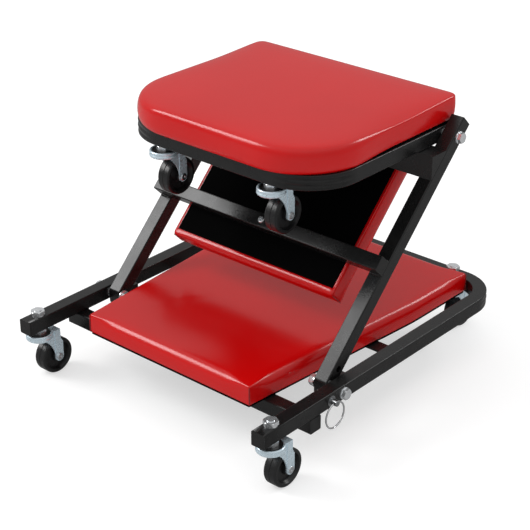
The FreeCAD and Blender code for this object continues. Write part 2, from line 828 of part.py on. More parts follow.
def caster_wheel():
    """Moulded wheel: grooved tread, dished sides and a hub."""
    edge = tread_width / 2
    shoulder = 2.8
    groove = 0.7
    half = [
        (axle_r + running_fit, hub_width / 2),
        (hub_r, hub_width / 2),
        (hub_r + 1.0, edge - 4.0),
        (wheel_r - 7.5, edge - 4.5),
        (wheel_r - 5.0, edge),
        (wheel_r - shoulder, edge),
    ]

    def wire(sign):
        points = [V(r, sign * a, 0) for r, a in half]
        edges = [Part.LineSegment(p, q).toShape() for p, q in zip(points, points[1:])]
        bulge = shoulder * (1 - math.sqrt(0.5))
        arc_end = V(wheel_r, sign * (edge - shoulder), 0)
        arc_mid = V(wheel_r - bulge, sign * (edge - bulge), 0)
        edges.append(Part.Arc(points[-1], arc_mid, arc_end).toShape())
        lip = V(wheel_r, sign * groove, 0)
        floor = V(wheel_r - groove, 0, 0)
        edges.append(Part.LineSegment(arc_end, lip).toShape())
        edges.append(Part.LineSegment(lip, floor).toShape())
        return edges

    inner = Part.LineSegment(
        V(axle_r + running_fit, -hub_width / 2, 0), V(axle_r + running_fit, hub_width / 2, 0)
    ).toShape()
    outline = Part.Wire(Part.sortEdges(wire(1) + wire(-1) + [inner])[0])
    wheel = Part.Face(outline).revolve(V(0, 0, 0), V(0, 1, 0), 360)
    wheel.translate(V(trail, 0, axle_z))
    return wheel


def placed(shape, x, y, z):
    moved = shape.copy()
    moved.translate(V(x, y, z))
    return moved


def add_fixed_caster_nodes(name, places, z, through):
    """Stems, nuts, upper races and balls: the caster pieces that stay with the frame."""
    top = tube + lock_washer + stem_nut + 1.0 if through else wall + stem_nut + 1.0
    nuts = [hex_nut(stem_nut_flats, jam_nut, stem_r + fixed_fit)]
    nuts[0].translate(V(0, 0, -jam_nut))
    if through:
        upper = hex_nut(stem_nut_flats, stem_nut, stem_r + fixed_fit)
        washer = ring_plate(stem_nut_flats / 2, stem_r + fixed_fit, lock_washer)
        washer.translate(V(0, 0, tube))
        upper.translate(V(0, 0, tube + lock_washer))
        nuts += [washer, upper]
    else:
        inside = hex_nut(tube - 2 * wall - 3, stem_nut, stem_r + fixed_fit)
        inside.translate(V(0, 0, wall))
        nuts.append(inside)
    nodes[name + "_stems"] = group([placed(caster_stem(top), x, y, z) for x, y in places])
    nodes[name + "_nuts"] = group([placed(nut, x, y, z) for x, y in places for nut in nuts])
    nodes[name + "_upper_races"] = group([placed(caster_cap(), x, y, z) for x, y in places])
    nodes[name + "_balls"] = group(
        [placed(ball, x, y, z) for x, y in places for ball in caster_balls()]
    )


add_fixed_caster_nodes("base_caster", base_stems, caster_height, True)
add_fixed_caster_nodes("seat_caster", seat_stems, seat_underside, False)

# All the casters trail towards +X.
casters = {
    "front_left": (base_stems[0], caster_height),
    "front_right": (base_stems[1], caster_height),
    "rear_left": (base_stems[2], caster_height),
    "rear_right": (base_stems[3], caster_height),
    "seat_left": (seat_stems[0], seat_underside),
    "seat_right": (seat_stems[1], seat_underside),
}
for name, ((x, y), z) in casters.items():
    nodes[name + "_caster_fork"] = placed(caster_fork(), x, y, z)
    nodes[name + "_caster_axle"] = placed(caster_axle(), x, y, z)
    nodes[name + "_caster_wheel"] = placed(caster_wheel(), x, y, z)

# ---- pull pin on the -Y leg, drawn back so that its tip is clear of the arm ----
OUT = V(0, -1, 0)
pin_tip_y = -leg_inner_y + pin_tip_past_leg
ring_y = -leg_outer_y - ring_out
pin = rod(pin_r, V(pin_x, pin_tip_y, tube_z), V(pin_x, ring_y - pin_end_past_ring, tube_z))
pin_ends = [e for e in pin.Edges if e.Closed]
pin = pin.makeFillet(1.0, pin_ends)
collar_y = -leg_inner_y - wall - washer_play - pin_travel - collar_thick
collar_end = V(pin_x, collar_y + collar_thick, tube_z)
pin = pin.fuse(rod(collar_r, V(pin_x, collar_y, tube_z), collar_end))
pin = pin.cut(rod(ring_hole_r, V(pin_x - 10, ring_y, tube_z), V(pin_x + 10, ring_y, tube_z)))
nodes["pull_pin"] = pin

bushing = rod(
    flange_r, V(pin_x, -leg_outer_y, tube_z), V(pin_x, -leg_outer_y - flange_thick, tube_z)
)
sleeve_end_y = -leg_outer_y - flange_thick + sleeve_length
bushing = bushing.fuse(
    rod(sleeve_r, V(pin_x, sleeve_end_y, tube_z), V(pin_x, -leg_outer_y - 1, tube_z))
)
bushing = bushing.cut(
    rod(
        pin_r + running_fit,
        V(pin_x, sleeve_end_y + 1, tube_z),
        V(pin_x, -leg_outer_y - flange_thick - 1, tube_z),
    )
)
nodes["pull_pin_bushing"] = bushing

spring_start = sleeve_end_y + washer_play + spring_wire_r
spring_length = collar_y - spring_wire_r - washer_play - spring_start
helix = Part.makeHelix(spring_length / spring_turns, spring_length, spring_r)
section = Part.Wire(
    Part.Circle(V(spring_r, 0, 0), V(0, 1, 0), spring_wire_r).toShape()
)
coil = Part.Wire(helix.Edges).makePipeShell([section], True, True)
nodes["pull_pin_spring"] = put(coil, V(pin_x, spring_start, tube_z), V(0, 1, 0))

ring = Part.makeTorus(ring_r, ring_wire_r)
nodes["pull_ring"] = put(ring, V(pin_x, ring_y, tube_z - ring_r), OUT)

# ---- write the parts ----
os.makedirs("parts", exist_ok=True)
for name, shape in nodes.items():
    shape.exportStep("parts/" + name + ".step")
print(len(nodes), "nodes written")
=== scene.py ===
import json
import math

import bmesh
import bpy
import numpy as np
from mathutils import Matrix, Vector


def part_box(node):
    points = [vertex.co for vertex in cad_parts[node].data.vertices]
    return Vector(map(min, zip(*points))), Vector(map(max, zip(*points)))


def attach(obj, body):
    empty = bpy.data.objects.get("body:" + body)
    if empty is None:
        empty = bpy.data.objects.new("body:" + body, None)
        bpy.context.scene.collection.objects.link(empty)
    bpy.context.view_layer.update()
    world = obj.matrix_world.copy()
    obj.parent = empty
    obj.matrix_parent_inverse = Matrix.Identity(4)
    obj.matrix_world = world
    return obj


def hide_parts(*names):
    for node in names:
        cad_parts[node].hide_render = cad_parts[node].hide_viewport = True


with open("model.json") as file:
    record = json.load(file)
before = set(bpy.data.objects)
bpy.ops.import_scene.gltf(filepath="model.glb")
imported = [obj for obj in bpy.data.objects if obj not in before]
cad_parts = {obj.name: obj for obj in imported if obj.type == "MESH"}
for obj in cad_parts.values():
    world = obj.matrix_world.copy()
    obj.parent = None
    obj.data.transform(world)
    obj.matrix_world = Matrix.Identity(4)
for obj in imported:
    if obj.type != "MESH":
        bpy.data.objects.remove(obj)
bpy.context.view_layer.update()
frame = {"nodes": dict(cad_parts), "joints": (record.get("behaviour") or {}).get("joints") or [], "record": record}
nodes = frame["nodes"]
scene = bpy.context.scene

MM = 0.001
HALF = 0.010             # half of the square tube's width
STEEL = "black_steel"    # the record's slot for the painted frame


# ------------------------------------------------------------------ materials
def new_material(name):
    """A material with its tree, its shader and the object coordinates."""
    mat = bpy.data.materials.new(name)
    mat.use_nodes = True
    tree = mat.node_tree
    shader = tree.nodes["Principled BSDF"]
    coords = tree.nodes.new("ShaderNodeTexCoord")
    return mat, tree, shader, coords.outputs["Object"]


def noise(tree, vector, scale, detail=3.0, roughness=0.55, distortion=0.0):
    node = tree.nodes.new("ShaderNodeTexNoise")
    node.inputs["Scale"].default_value = scale
    node.inputs["Detail"].default_value = detail
    node.inputs["Roughness"].default_value = roughness
    node.inputs["Distortion"].default_value = distortion
    tree.links.new(vector, node.inputs["Vector"])
    return node.outputs["Fac"]


def voronoi(tree, vector, scale):
    node = tree.nodes.new("ShaderNodeTexVoronoi")
    node.inputs["Scale"].default_value = scale
    tree.links.new(vector, node.inputs["Vector"])
    return node.outputs["Distance"]


def stretched(tree, vector, scale):
    node = tree.nodes.new("ShaderNodeMapping")
    node.inputs["Scale"].default_value = scale
    tree.links.new(vector, node.inputs["Vector"])
    return node.outputs["Vector"]


def to_range(tree, value, low, high, from_low=0.3, from_high=0.7):
    node = tree.nodes.new("ShaderNodeMapRange")
    node.inputs["From Min"].default_value = from_low
    node.inputs["From Max"].default_value = from_high
    node.inputs["To Min"].default_value = low
    node.inputs["To Max"].default_value = high
    tree.links.new(value, node.inputs["Value"])
    return node.outputs["Result"]


def ramp(tree, value, stops):
    node = tree.nodes.new("ShaderNodeValToRGB")
    elements = node.color_ramp.elements
    while len(elements) < len(stops):
        elements.new(0.5)
    for element, (at, colour) in zip(elements, stops):
        element.position = at
        element.color = (*colour, 1.0)
    tree.links.new(value, node.inputs["Fac"])
    return node.outputs["Color"]


def bump(tree, shader, height, strength, distance):
    node = tree.nodes.new("ShaderNodeBump")
    node.inputs["Strength"].default_value = strength
    node.inputs["Distance"].default_value = distance
    tree.links.new(height, node.inputs["Height"])
    tree.links.new(node.outputs["Normal"], shader.inputs["Normal"])


def powder_coat(name, base=0.0055, rough=(0.23, 0.31)):
    """Black powder coat: fine orange peel, cloudy gloss and a little dust."""
    mat, tree, shader, at = new_material(name)
    dust = noise(tree, at, 60, 5, 0.65)
    colour = ramp(
        tree,
        dust,
        [(0.35, (base, base, base * 1.03)), (0.75, (base * 1.8, base * 1.75, base * 1.7))],
    )
    tree.links.new(colour, shader.inputs["Base Color"])
    cloud = noise(tree, at, 22, 4, 0.6)
    tree.links.new(to_range(tree, cloud, *rough), shader.inputs["Roughness"])
    shader.inputs["Specular IOR Level"].default_value = 0.40
    peel = noise(tree, at, 1100, 2, 0.5)
    bump(tree, shader, peel, 0.10, 0.0003)
    return mat


def zinc(name, colour, rough=(0.22, 0.36), wear=0.12, metal=1.0):
    """Bright zinc plate: metal with cloudy spangle and fine drawing marks."""
    mat, tree, shader, at = new_material(name)
    shader.inputs["Metallic"].default_value = metal
    spots = noise(tree, at, 240, 5, 0.7)
    low = tuple(c * (1 - wear) for c in colour)
    high = tuple(min(1.0, c * (1 + wear)) for c in colour)
    tree.links.new(ramp(tree, spots, [(0.3, low), (0.7, high)]), shader.inputs["Base Color"])
    cloud = noise(tree, at, 90, 4, 0.6)
    tree.links.new(to_range(tree, cloud, *rough), shader.inputs["Roughness"])
    marks = noise(tree, stretched(tree, at, (300, 300, 2400)), 1.0, 3, 0.6)
    bump(tree, shader, marks, 0.05, 0.0003)
    return mat


def vinyl(name):
    """Taut glossy red vinyl with a fine pebble grain."""
    mat, tree, shader, at = new_material(name)
    cloud = noise(tree, at, 7, 2, 0.5)
    colour = ramp(tree, cloud, [(0.3, (0.495, 0.0008, 0.0010)), (0.7, (0.535, 0.0010, 0.0014))])
    tree.links.new(colour, shader.inputs["Base Color"])
    smudge = noise(tree, at, 15, 4, 0.55)
    tree.links.new(to_range(tree, smudge, 0.18, 0.24), shader.inputs["Roughness"])
    shader.inputs["Specular IOR Level"].default_value = 0.5
    grain = voronoi(tree, at, 1000)
    bump(tree, shader, grain, 0.05, 0.0002)
    return mat


def thread(name, colour):
    """Sewing thread with a fine twist."""
    mat, tree, shader, at = new_material(name)
    twist = noise(tree, stretched(tree, at, (1500, 1500, 4000)), 1.0, 2, 0.5)
    low = tuple(c * 0.7 for c in colour)
    tree.links.new(ramp(tree, twist, [(0.35, low), (0.65, colour)]), shader.inputs["Base Color"])
    tree.links.new(to_range(tree, twist, 0.45, 0.6), shader.inputs["Roughness"])
    bump(tree, shader, twist, 0.3, 0.0003)
    return mat


def dust_cover(name):
    """Black non-woven cloth stapled over a board."""
    mat, tree, shader, at = new_material(name)
    fibre = noise(tree, stretched(tree, at, (900, 500, 700)), 1.0, 5, 0.75)
    colour = ramp(tree, fibre, [(0.35, (0.0007, 0.0007, 0.0008)), (0.75, (0.0024, 0.0024, 0.0024))])
    tree.links.new(colour, shader.inputs["Base Color"])
    tree.links.new(to_range(tree, fibre, 0.75, 0.95), shader.inputs["Roughness"])
    shader.inputs["Specular IOR Level"].default_value = 0.02
    bump(tree, shader, fibre, 0.25, 0.0004)
    return mat


def moulded(name, base, rough=(0.36, 0.5)):
    """Black moulded plastic with flow marks and fine texture."""
    mat, tree, shader, at = new_material(name)
    flow = noise(tree, at, 120, 4, 0.6, 0.4)
    low = tuple(c * 0.75 for c in base)
    high = tuple(c * 1.4 for c in base)
    tree.links.new(ramp(tree, flow, [(0.3, low), (0.7, high)]), shader.inputs["Base Color"])
    tree.links.new(to_range(tree, flow, *rough), shader.inputs["Roughness"])
    bump(tree, shader, noise(tree, at, 1300, 2, 0.5), 0.18, 0.0003)
    return mat


MAT = {
    "black_steel": powder_coat("powder_coat_black"),
    "tube_caps": powder_coat("powder_coat_caps", 0.005, (0.24, 0.32)),
    "red_vinyl": vinyl("vinyl_red"),
    "board": dust_cover("dust_cover_black"),
    "bright_hardware": zinc("zinc_bright", (0.86, 0.88, 0.90), (0.12, 0.24), 0.08, metal=0.85),
    "bearing_steel": zinc("steel_greased", (0.10, 0.10, 0.10), (0.25, 0.5), 0.4),
    "zinc_fork": zinc("zinc_blue", (0.70, 0.83, 0.91), (0.20, 0.32), 0.08, metal=0.62),
    "axle_steel": zinc("zinc_axle", (0.74, 0.76, 0.78), (0.18, 0.3)),
    "black_wheel": moulded("wheel_black", (0.0055, 0.0055, 0.0058), (0.26, 0.36)),
    "pin_steel": zinc("steel_pin", (0.36, 0.37, 0.38), (0.25, 0.4)),
    "ring_chrome": zinc("ring_nickel", (0.80, 0.81, 0.82), (0.08, 0.16), 0.05),
    "seam": thread("thread_red", (0.30, 0.004, 0.006)),
    "weld": powder_coat("weld_painted", 0.006, (0.22, 0.34)),
}

for entry in frame["record"]["subparts"]:
    shown = nodes[entry["node"]]
    shown.data.materials.clear()
    shown.data.materials.append(MAT[entry["material_slot"]])


# ------------------------------------------------------------------ mesh helpers
def make_object(name, verts, faces, slot, body, smooth=True):
    """Mesh piece in a material slot's finish, riding on a body."""
    mesh = bpy.data.meshes.new(name)
    mesh.from_pydata([tuple(v) for v in verts], [], faces)
    mesh.update()
    obj = bpy.data.objects.new(name, mesh)
    scene.collection.objects.link(obj)
    mesh.materials.append(MAT[slot])
    mesh.polygons.foreach_set("use_smooth", [smooth] * len(mesh.polygons))
    bm = bmesh.new()
    bm.from_mesh(mesh)
    bmesh.ops.recalc_face_normals(bm, faces=bm.faces)
    bm.to_mesh(mesh)
    bm.free()
    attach(obj, body)
    return obj


def subdivide(obj):
    """One level of subdivision, with its result applied."""
    modifier = obj.modifiers.new("subdivide", "SUBSURF")
    modifier.levels = 1
    modifier.render_levels = 1
    depsgraph = bpy.context.evaluated_depsgraph_get()
    mesh = bpy.data.meshes.new_from_object(obj.evaluated_get(depsgraph))
    obj.modifiers.clear()
    old = obj.data
    obj.data = mesh
    bpy.data.meshes.remove(old)


def loft(rings, cap_start=True, cap_end=True):
    """Faces of closed rings of equal length, one after another."""
    count = len(rings[0])
    verts = [v for ring in rings for v in ring]
    faces = []
    for k in range(len(rings) - 1):
        for i in range(count):
            j = (i + 1) % count
            faces.append((k * count + i, k * count + j, (k + 1) * count + j, (k + 1) * count + i))
    for wanted, first in ((cap_start, 0), (cap_end, (len(rings) - 1) * count)):
        if wanted:
            faces += [tuple(first + i for i in face) for face in ladder(count)]
    return verts, faces


def ladder(count):
    """Faces that close a ring with rungs across it."""
    left, right = 0, count - 1
    faces = []
    while right - left >= 3:
        faces.append((left, left + 1, right - 1, right))
        left += 1
        right -= 1
    if right - left == 2:
        faces.append((left, left + 1, right))
    return faces


def smoothstep(x):
    x = min(1.0, max(0.0, x))
    return x * x * (3 - 2 * x)


# ------------------------------------------------------------------ cushions
TIGHT_R = 0.006       # a corner below this radius gets a point close beside it
TIGHT_GAP = 0.0012
CROWN_FROM = 9        # the profile's first ring that the crown lifts
PAD_STEP = 0.0045     # between points along a pad's outline
TOP_RINGS = (0.93, 0.85, 0.76, 0.66, 0.56, 0.46, 0.36, 0.26, 0.17, 0.09, 0.03)
UNDER_RINGS = (0.04, 0.5)


def rounded_outline(corners, radii, step):
    """Points round a polygon with arcs at its corners, anticlockwise, closer at tight corners."""
    arcs = []
    count = len(corners)
    for k in range(count):
        here = np.array(corners[k], float)
        back = np.array(corners[k - 1], float) - here
        ahead = np.array(corners[(k + 1) % count], float) - here
        back /= np.linalg.norm(back)
        ahead /= np.linalg.norm(ahead)
        half = math.acos(max(-1.0, min(1.0, float(back @ ahead)))) / 2
        reach = radii[k] / math.tan(half)
        middle = back + ahead
        middle /= np.linalg.norm(middle)
        centre = here + middle * radii[k] / math.sin(half)
        start = here + back * reach - centre
        end = here + ahead * reach - centre
        a0 = math.atan2(start[1], start[0])
        turn = (math.atan2(end[1], end[0]) - a0 + math.pi) % (2 * math.pi) - math.pi
        pieces = max(2, round(abs(turn) * radii[k] / step))
        arcs.append(
            [
                centre + radii[k] * np.array([math.cos(a), math.sin(a)])
                for a in np.linspace(a0, a0 + turn, pieces + 1)
            ]
        )
    points = []
    for k, arc in enumerate(arcs):
        points += arc
        after = (k + 1) % count
        start, end = arc[-1], arcs[after][0]
        length = np.linalg.norm(end - start)
        places = list(np.linspace(0, 1, max(2, round(length / step)) + 1)[1:-1])
        close = TIGHT_GAP / length
        if radii[k] < TIGHT_R:
            places = [close] + places
        if radii[after] < TIGHT_R:
            places = places + [1 - close]
        points += [start + (end - start) * t for t in places]
    return np.array(points)


def cushion(name, node, body, corners, radii, profile, crown, place=None):
    """Closed padded form over an outline.

    profile(x, y) gives (inset, height) pairs from the underside's inner edge, out round the
    side and in over the top; crown(u, v) is the swell of the top, for u and v from -1 to 1.
    """
    outline = rounded_outline(corners, radii, PAD_STEP)
    low = outline.min(axis=0)
    high = outline.max(axis=0)
    centre = (low + high) / 2
    size = (high - low) / 2
    per_point = [profile(x, y) for x, y in outline]
    rings = []
    steps = len(per_point[0])
    for k in range(steps):
        ring = []
        for (x, y), pairs in zip(outline, per_point):
            inset, height = pairs[k]
            sx = 1 - inset / size[0]
            sy = 1 - inset / size[1]
            px = centre[0] + (x - centre[0]) * sx
            py = centre[1] + (y - centre[1]) * sy
            lift = 0.0
            if k >= CROWN_FROM:
                u = (px - centre[0]) / size[0]
                v = (py - centre[1]) / size[1]
                lift = crown(u, v)
            ring.append((px, py, height + lift))
        rings.append(ring)
    last = [pairs[-1] for pairs in per_point]
    for t in TOP_RINGS:
        ring = []
        for (x, y, _), (_, height) in zip(rings[steps - 1], last):
            px = centre[0] + (x - centre[0]) * t
            py = centre[1] + (y - centre[1]) * t
            u = (px - centre[0]) / size[0]
            v = (py - centre[1]) / size[1]
            flat = last[0][1]
            level = flat + (height - flat) * t
            ring.append((px, py, level + crown(u, v)))
        rings.append(ring)
    inner = [
        [
            (centre[0] + (x - centre[0]) * t, centre[1] + (y - centre[1]) * t, z)
            for x, y, z in rings[0]
        ]
        for t in UNDER_RINGS
    ]
    verts, faces = loft(inner + rings)
    if place is not None:
        verts = [place @ Vector(v) for v in verts]
    obj = make_object(name, verts, faces, "red_vinyl", body)
    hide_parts(node)
    return obj


def mix(a, b, t):
    """Profile part of the way from a to b."""
    return [(p[0] + (q[0] - p[0]) * t, p[1] + (q[1] - p[1]) * t) for p, q in zip(a, b)]


def scaled(pairs, z0):
    """A profile in millimetres above z0, in metres."""
    return [(inset * MM, z0 + height * MM) for inset, height in pairs]


# Seat: a crisp edge line along the sides and back, and a full roll round the front that
# is tightest left of the middle and soft at the left corner.
SEAT_FRONT_R = 0.088
SEAT_BACK_R = 0.010
SEAT_BOARD_BACK_R = 0.013
seat_low, seat_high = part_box("seat_cushion")
seat_corners = [
    (seat_low.x, seat_low.y),
    (seat_high.x, seat_low.y),
    (seat_high.x, seat_high.y),
    (seat_low.x, seat_high.y),
]
SEAT_SIDE = [
    (6.0, 8.6), (5.4, 2.6), (2.0, 2.4), (0.4, 3.2), (-0.6, 9.0), (-1.2, 17.0), (-0.9, 25.0),
    (-0.5, 29.4), (-0.3, 30.3), (0.6, 30.8), (3.4, 31.7), (9.0, 33.3), (18.0, 35.2), (34.0, 36.4),
]
SEAT_BACK = [
    (6.0, 8.6), (5.4, 2.6), (2.0, 2.4), (0.4, 3.2), (-0.4, 9.0), (-0.9, 17.0), (-0.8, 25.0),
    (-0.4, 30.6), (-0.3, 32.6), (0.9, 33.8), (3.4, 34.6), (9.0, 35.4), (18.0, 36.1), (34.0, 36.4),
]
SEAT_FRONT = [
    (6.0, 8.6), (5.6, 1.4), (3.4, -1.0), (0.8, -1.0), (-1.6, 2.4), (-3.2, 8.5), (-3.7, 15.0),
    (-3.7, 22.0), (-3.0, 28.0), (-0.6, 32.2), (3.2, 34.2), (9.0, 35.3), (18.0, 36.0), (34.0, 36.4),
]
SEAT_FRONT_FULL = [
    (6.0, 8.6), (5.6, 1.4), (3.4, -1.0), (0.8, -1.0), (-1.6, 2.4), (-3.2, 8.5), (-4.0, 15.0),
    (-4.3, 22.5), (-3.9, 29.3), (-2.0, 33.4), (1.6, 35.0), (8.0, 35.8), (18.0, 36.3), (34.0, 36.4),
]
SEAT_FRONT_SOFT = [
    (6.0, 8.6), (5.6, 1.4), (3.4, -1.0), (0.8, -1.0), (-1.4, 2.4), (-2.2, 8.0), (-1.8, 14.0),
    (-0.2, 20.0), (2.4, 25.6), (5.8, 30.2), (10.0, 33.4), (15.0, 35.2), (22.0, 36.1), (34.0, 36.4),
]


def seat_profile(x, y):
    """Front roll into side edge, over a longer way on the left side, and that into the back."""
    rear = smoothstep((x - seat_low.x - 0.080) / (0.080 + 0.150 * smoothstep(y / 0.100)))
    full = smoothstep((y + 0.040) / 0.120)
    soft = 0.45 * smoothstep((y - 0.075) / 0.060)
    front = mix(mix(SEAT_FRONT, SEAT_FRONT_FULL, full), SEAT_FRONT_SOFT, soft)
    pairs = mix(front, SEAT_SIDE, rear)
    pairs = mix(pairs, SEAT_BACK, smoothstep((x - seat_high.x + 0.110) / 0.108))
    return scaled(pairs, seat_low.z)


def seat_crown(u, v):
    return 0.0030 * max(0.0, 1 - abs(v) ** 2.6) * max(0.0, 1 - abs(u) ** 3)


seat_pad = cushion(
    "seat_pad_cover",
    "seat_cushion",
    "seat",
    seat_corners,
    [SEAT_FRONT_R, SEAT_BACK_R, SEAT_BACK_R, SEAT_FRONT_R],
    seat_profile,
    seat_crown,
)

# Base: taut box-shaped pad, a little narrower at the front, with a narrow roll, tightest
# along the left side, and seamed corners.
BASE_FRONT_HALF = 0.2810 / 2
BASE_TAPER = 0.1165    # from the back to where the sides begin to draw in
BASE_SWELL = 0.0020    # the cover's swell past the solid, each side
BASE_SIDE_BOW = 0.001
BASE_RADII = [0.0016, 0.4, 0.0016, 0.0016, 0.4, 0.0016]
base_low, base_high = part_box("base_cushion")
BASE_EDGE = [
    (6.0, 8.6), (5.4, 3.0), (2.0, 2.7), (0.6, 3.3), (-0.4, 8.0), (-0.9, 13.5), (-0.8, 19.0),
    (-0.1, 23.0), (2.0, 26.6), (5.2, 29.2), (9.6, 30.6), (14.0, 31.1), (20.0, 31.2), (30.0, 31.2),
]
BASE_CORNER = [
    (6.0, 8.6), (5.4, 3.0), (2.0, 2.7), (0.3, 3.3), (0.1, 8.0), (0.0, 14.0), (0.0, 20.0),
    (0.0, 25.0), (0.1, 28.6), (0.7, 29.9), (3.0, 30.3), (9.0, 30.5), (18.0, 30.8), (30.0, 31.0),
]
BASE_TAUT = [
    (6.0, 8.6), (5.4, 3.0), (2.0, 2.7), (0.6, 3.3), (-0.6, 8.0), (-1.2, 13.5), (-1.4, 20.0),
    (-1.1, 26.0), (-0.2, 29.2), (1.8, 30.6), (6.0, 31.1), (12.0, 31.2), (20.0, 31.2), (30.0, 31.2),
]
straight_x = base_high.x - BASE_TAPER
base_corners = [
    (base_low.x, -BASE_FRONT_HALF),
    (straight_x, base_low.y - BASE_SWELL + BASE_SIDE_BOW),
    (base_high.x, base_low.y - BASE_SWELL),
    (base_high.x, base_high.y + BASE_SWELL),
    (straight_x, base_high.y + BASE_SWELL - BASE_SIDE_BOW),
    (base_low.x, BASE_FRONT_HALF),
]
SEAMED = (0, 2, 3, 5)    # the four of them that are real corners


def base_profile(x, y):
    ends = [base_corners[k] for k in SEAMED]
    near = min(math.hypot(x - cx, y - cy) for cx, cy in ends)
    pinch = 1 - smoothstep(near / 0.042)
    edge = mix(BASE_EDGE, BASE_TAUT, smoothstep((y - 0.120) / 0.020))
    return scaled(mix(edge, BASE_CORNER, pinch), base_low.z)


def base_crown(u, v):
    side = max(0.0, 1 - abs(v) ** 2.4)
    along = max(0.0, 1 - abs(u) ** 4)
    return 0.0022 * side * along


base_pad = cushion(
    "base_pad_cover",
    "base_cushion",
    "base",
    base_corners,
    BASE_RADII,
    base_profile,
    base_crown,
)

# Middle: hangs from the arms' front plane, its underside facing forward.
pivot = Vector(next(j for j in frame["joints"] if j["name"] == "arms_fold")["pos_m"])
lean = Matrix.Rotation(math.radians(-45), 4, "Y")
on_arm = Matrix.Translation(pivot) @ lean
under = on_arm @ Matrix.Translation((0, 0, HALF)) @ Matrix.Rotation(math.pi, 4, "X")
MIDDLE_END = [
    (10.0, 1.0), (9.4, -0.3), (6.4, -0.6), (3.2, -0.1), (0.8, 2.0), (-1.0, 6.5), (-1.6, 12.0),
    (-1.4, 18.0), (-0.2, 22.8), (2.2, 26.2), (5.4, 28.2), (9.0, 29.3), (14.0, 29.9), (30.0, 30.4),
]
MIDDLE_SIDE = [
    (2.6, 1.0), (2.3, 0.3), (1.8, 0.1), (1.0, 0.4), (0.2, 2.0), (-0.7, 6.5), (-1.3, 12.0),
    (-1.2, 18.0), (-0.2, 22.8), (2.2, 26.2), (5.4, 28.2), (9.0, 29.3), (14.0, 29.9), (30.0, 30.4),
]
MIDDLE_CORNER = [
    (10.0, 1.0), (9.4, -0.3), (6.2, -0.6), (2.6, -0.3), (0.3, 1.2), (0.0, 6.5), (0.0, 12.0),
    (0.0, 18.0), (0.0, 23.5), (0.8, 27.4), (3.4, 28.8), (8.0, 29.4), (14.0, 29.9), (30.0, 30.4),
]
MIDDLE_ENDS = (0.105, 0.317)    # along the arms, from the base pivots
MIDDLE_HALF = 0.140
MIDDLE_R = 0.0030
WRAP_RINGS = 4                  # rings of the profile that lie on the underside


def middle_profile(x, y):
    near = min(math.hypot(x - end, abs(y) - MIDDLE_HALF) for end in MIDDLE_ENDS)
    to_end = min(abs(x - end) for end in MIDDLE_ENDS)
    pinch = 1 - smoothstep(near / 0.030)
    along_side = smoothstep(to_end / 0.008)
    pairs = mix(mix(MIDDLE_END, MIDDLE_CORNER, pinch), MIDDLE_SIDE, along_side)
    upper = mix(mix(MIDDLE_END, MIDDLE_SIDE, along_side), MIDDLE_CORNER, pinch)
    return scaled(pairs[:WRAP_RINGS] + upper[WRAP_RINGS:], 0.0)


def middle_crown(u, v):
    return 0.0015 * max(0.0, 1 - abs(v) ** 2.4) * max(0.0, 1 - abs(u) ** 3)


middle_pad = cushion(
    "middle_pad_cover",
    "middle_cushion",
    "arms",
    [
        (MIDDLE_ENDS[0], -MIDDLE_HALF),
        (MIDDLE_ENDS[1], -MIDDLE_HALF),
        (MIDDLE_ENDS[1], MIDDLE_HALF),
        (MIDDLE_ENDS[0], MIDDLE_HALF),
    ],
    [MIDDLE_R] * 4,
    middle_profile,
    middle_crown,
    place=under,
)
for pad in (seat_pad, base_pad, middle_pad):
    subdivide(pad)


# ------------------------------------------------------------------ backing under the pads
BOARD_STEP = 0.006     # between points along a board's outline
BOARD_LIFT = 0.0001    # keeps it off the frame below


def backing(name, body, corners, radii, z0, z1):
    """Covered board under a pad, its edges eased."""
    rings = []
    centre = np.mean(np.array(corners), axis=0)
    outline = rounded_outline(corners, radii, BOARD_STEP)
    for inset, z in ((0.0016, z0), (0.0010, z0 + 0.0006), (0.0010, z1 - 0.0004), (0.0014, z1)):
        ring = []
        for x, y in outline:
            ring.append(
                (
                    x - math.copysign(inset, x - centre[0]),
                    y - math.copysign(inset, y - centre[1]),
                    z,
                )
            )
        rings.append(ring)
    verts, faces = loft(rings)
    return make_object(name, verts, faces, "board", body, smooth=False)


backing(
    "seat_pad_backing",
    "seat",
    seat_corners,
    [SEAT_FRONT_R, SEAT_BOARD_BACK_R, SEAT_BOARD_BACK_R, SEAT_FRONT_R],
    seat_low.z + BOARD_LIFT,
    seat_low.z + 0.0026,
)
backing(
    "base_pad_backing",
    "base",
    base_corners,
    BASE_RADII,
    base_low.z + BOARD_LIFT,
    base_low.z + 0.0030,
)


# ------------------------------------------------------------------ bent tubes
def gather(name, parts, slot, body):
    """One object from several (verts, faces) pairs."""
    verts, faces = [], []
    for part_verts, part_faces in parts:
        start = len(verts)
        verts += part_verts
        faces += [tuple(start + i for i in face) for face in part_faces]
    return make_object(name, verts, faces, slot, body)


STRAIGHT_COUNT = 12      # stations along each straight run
BEND_STEP = 0.004        # between stations round a bend
CREASE_EASE = 0.30       # part of a bend over which the crease grows
CORNER_R = 0.0016
WALL = HALF - CORNER_R
PLAIN_WALL = (-WALL, -0.0079, 0.0, 0.0079, WALL)
CREASED_WALL = (
    -WALL, -0.0079, -0.0066, -0.0054, -0.0045, -0.0036, -0.0026, -0.0014, 0.0,
    0.0014, 0.0026, 0.0036, 0.0045, 0.0054, 0.0066, 0.0079, WALL,
)


